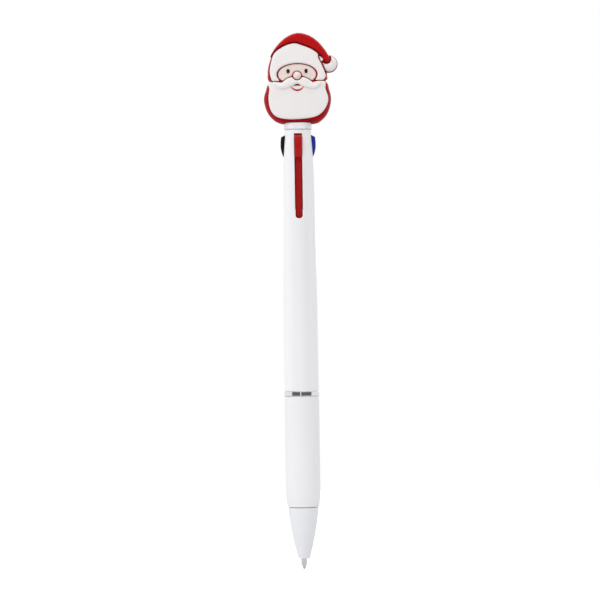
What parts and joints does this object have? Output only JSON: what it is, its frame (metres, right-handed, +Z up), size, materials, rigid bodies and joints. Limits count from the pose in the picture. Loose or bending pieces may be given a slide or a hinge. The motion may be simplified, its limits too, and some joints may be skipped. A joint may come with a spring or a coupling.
{
  "type": "multicolor click pen",
  "caption": "Multicolour click pen with thumb sliders in barrel slots, sprung refills, a soft grip, a nose cone and a moulded bearded head in a winter hat on top.",
  "frame": {"origin": "lowest point of the extended writing ball, on the pen's axis", "axes": "+Z up the pen's axis from the writing point to the head, -Y out of the front slot and the head's face"},
  "size_m": [0.0231, 0.0117, 0.1674],
  "materials": {
    "barrel_white": "glossy injection-moulded white",
    "inner_white": "as moulded",
    "core_white": "glossy moulded white",
    "grip_white": "satin, slightly soft white",
    "nose_white": "satin moulded white, slightly cool",
    "ring_chrome": "polished",
    "clear_plastic": "clear, polished",
    "spring_steel": "drawn wire",
    "tip_metal": "turned nickel silver",
    "ball_metal": "ground carbide",
    "refill_clear": "translucent extruded tube",
    "slider_black": "moulded black",
    "slider_red": "moulded red",
    "slider_blue": "moulded blue",
    "slider_green": "moulded green",
    "ink_black": "ink column",
    "ink_red": "ink column",
    "ink_blue": "ink column",
    "ink_green": "ink column",
    "pvc_red": "soft moulded PVC, satin",
    "pvc_white": "soft moulded PVC, satin",
    "pvc_skin": "soft moulded PVC, satin",
    "pvc_dark": "soft moulded PVC, satin",
    "pvc_mouth": "soft moulded PVC, satin"
  },
  "bodies": {
    "pen_body": {"upper_barrel": "barrel_white", "lower_barrel": "inner_white", "grip_sleeve": "grip_white", "nose_cone": "nose_white", "chrome_ring": "ring_chrome", "slider_core": "core_white", "guide_disc": "inner_white", "clear_plug": "clear_plastic", "head_core": "pvc_red", "hat": "pvc_red", "hat_brim": "pvc_white", "pompom": "pvc_white", "beard": "pvc_white", "face_plate": "pvc_skin", "moustache": "pvc_white", "nose": "pvc_skin", "eye_left": "pvc_dark", "eye_right": "pvc_dark", "mouth": "pvc_mouth", "black_spring": "spring_steel", "red_spring": "spring_steel", "blue_spring": "spring_steel", "green_spring": "spring_steel"},
    "black_carriage": {"black_slider": "slider_black", "black_refill_tube": "refill_clear", "black_refill_ink": "ink_black"},
    "black_point": {"black_refill_tip": "tip_metal", "black_refill_ball": "ball_metal"},
    "red_carriage": {"red_slider": "slider_red", "red_refill_tube": "refill_clear", "red_refill_ink": "ink_red"},
    "red_point": {"red_refill_tip": "tip_metal", "red_refill_ball": "ball_metal"},
    "blue_carriage": {"blue_slider": "slider_blue", "blue_refill_tube": "refill_clear", "blue_refill_ink": "ink_blue"},
    "blue_point": {"blue_refill_tip": "tip_metal", "blue_refill_ball": "ball_metal"},
    "green_carriage": {"green_slider": "slider_green", "green_refill_tube": "refill_clear", "green_refill_ink": "ink_green"},
    "green_point": {"green_refill_tip": "tip_metal", "green_refill_ball": "ball_metal"}
  },
  "joints": [
    {"name": "black_slide", "type": "slide", "parent": "pen_body", "child": "black_carriage", "axis": [0, 0, -1], "range_m": [0, 0.015], "stiffness_N_per_m": 60, "springref_m": -0.008, "deforming": ["black_spring"]},
    {"name": "black_centring", "type": "slide", "parent": "black_carriage", "child": "black_point", "axis": [1, 0, 0], "range_m": [0, 0.0024], "deforming": ["black_refill_tube", "black_refill_ink", "black_refill_tip", "black_refill_ball"]},
    {"name": "red_slide", "type": "slide", "parent": "pen_body", "child": "red_carriage", "axis": [0, 0, -1], "range_m": [0, 0.015], "stiffness_N_per_m": 60, "springref_m": -0.008, "deforming": ["red_spring"]},
    {"name": "red_centring", "type": "slide", "parent": "red_carriage", "child": "red_point", "axis": [0, 1, 0], "range_m": [0, 0.0024], "deforming": ["red_refill_tube", "red_refill_ink", "red_refill_tip", "red_refill_ball"]},
    {"name": "blue_slide", "type": "slide", "parent": "pen_body", "child": "blue_carriage", "axis": [0, 0, -1], "range_m": [0, 0.015], "stiffness_N_per_m": 60, "springref_m": -0.008, "deforming": ["blue_spring"]},
    {"name": "blue_centring", "type": "slide", "parent": "blue_carriage", "child": "blue_point", "axis": [-1, 0, 0], "range_m": [0, 0.0024], "deforming": ["blue_refill_tube", "blue_refill_ink", "blue_refill_tip", "blue_refill_ball"]},
    {"name": "green_slide", "type": "slide", "parent": "pen_body", "child": "green_carriage", "axis": [0, 0, 1], "range_m": [0, 0.015], "deforming": ["green_spring"]},
    {"name": "green_centring", "type": "slide", "parent": "green_carriage", "child": "green_point", "axis": [0, 1, 0], "range_m": [0, 0.0024], "deforming": ["green_refill_tube", "green_refill_ink", "green_refill_tip", "green_refill_ball"]}
  ],
  "couplings": [
    {"joint": "black_centring", "follows": "black_slide", "ratio": 0.15333},
    {"joint": "red_centring", "follows": "red_slide", "ratio": 0.15333},
    {"joint": "blue_centring", "follows": "blue_slide", "ratio": 0.15333},
    {"joint": "green_centring", "follows": "green_slide", "ratio": 0.15333}
  ]
}
